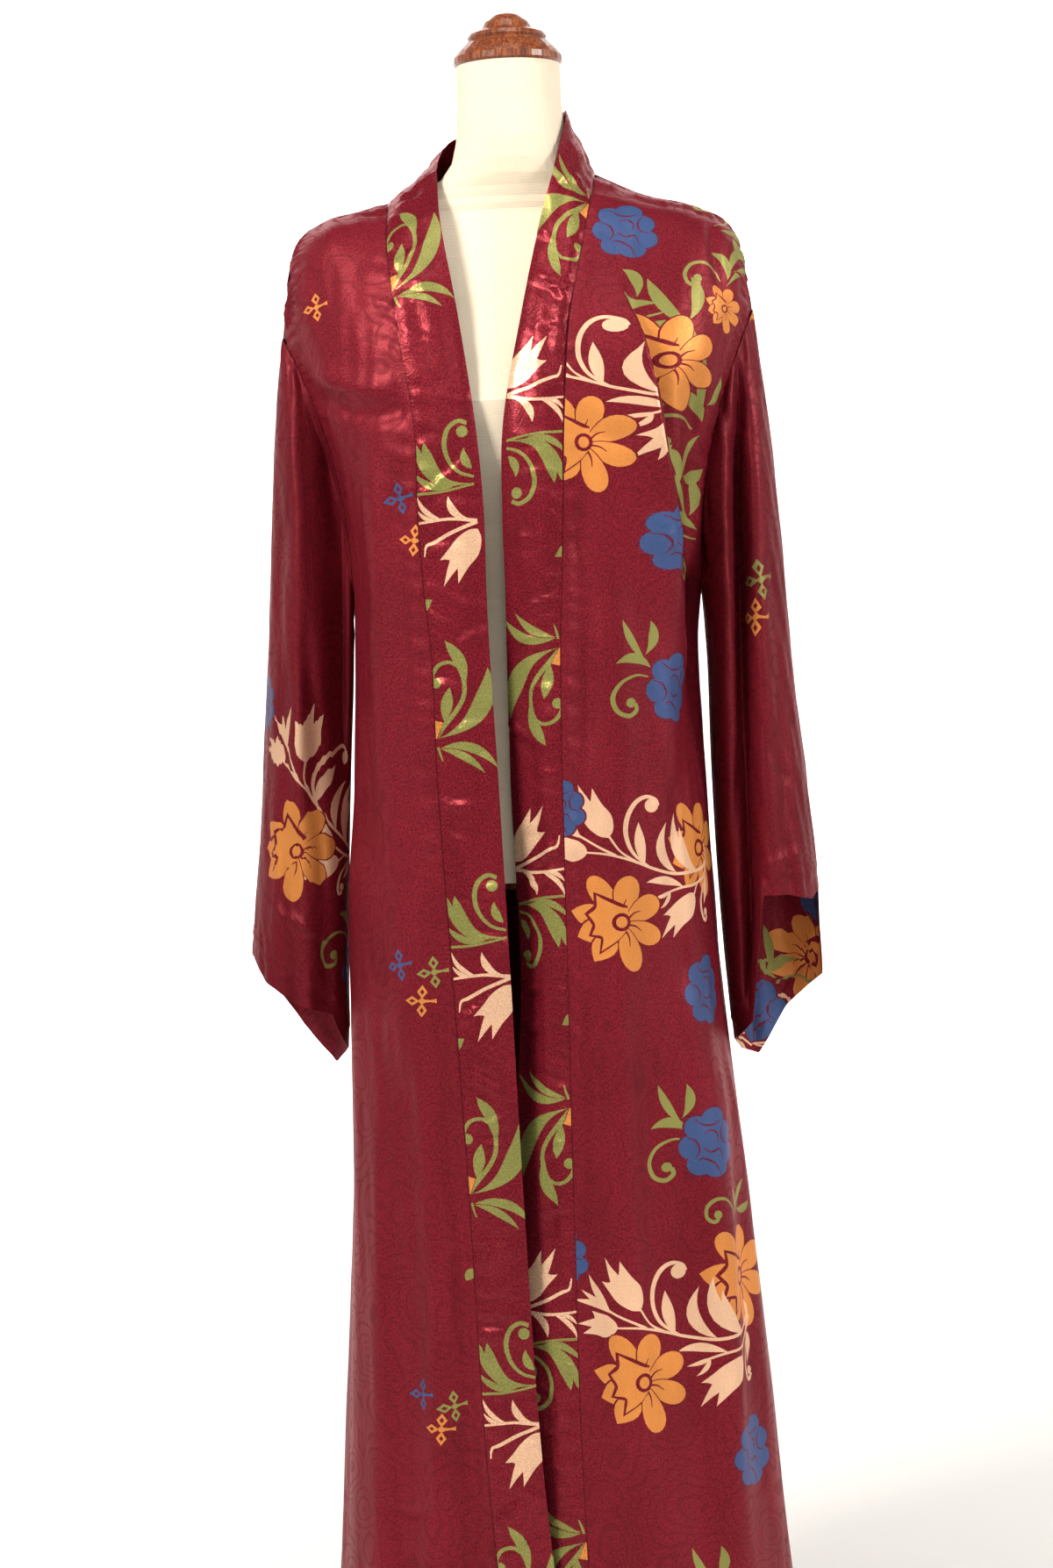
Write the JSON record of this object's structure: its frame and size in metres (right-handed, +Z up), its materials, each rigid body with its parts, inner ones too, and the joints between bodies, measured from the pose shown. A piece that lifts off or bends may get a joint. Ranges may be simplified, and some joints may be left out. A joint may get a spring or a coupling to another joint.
{
  "type": "kimono robe on dress form stand",
  "caption": "Long open-front kimono robe in dark red printed satin with wide hanging sleeves and a printed neck band, on a limbless dress form with a turned wooden stand.",
  "frame": {"origin": "on the floor, at the centre of the foot of the stand, under the axis of the pole", "axes": "+Z up; the robe's open front faces -Y; +X to the right of a viewer who faces the front"},
  "size_m": [0.5536, 0.38, 1.643],
  "materials": {
    "printed_satin": "satin with a tone-on-tone woven figure and a flower print",
    "form_cloth": "stretched cream linen jersey",
    "turned_wood": "red-brown varnish, satin gloss"
  },
  "bodies": {
    "root": {"robe_front_left": "printed_satin", "robe_front_right": "printed_satin", "robe_back": "printed_satin", "robe_sleeve_left": "printed_satin", "robe_sleeve_right": "printed_satin", "robe_neck_band": "printed_satin", "form_torso": "form_cloth", "form_neck_cap": "turned_wood", "stand_socket": "turned_wood", "stand_pole": "turned_wood", "stand_base": "turned_wood"}
  },
  "joints": []
}
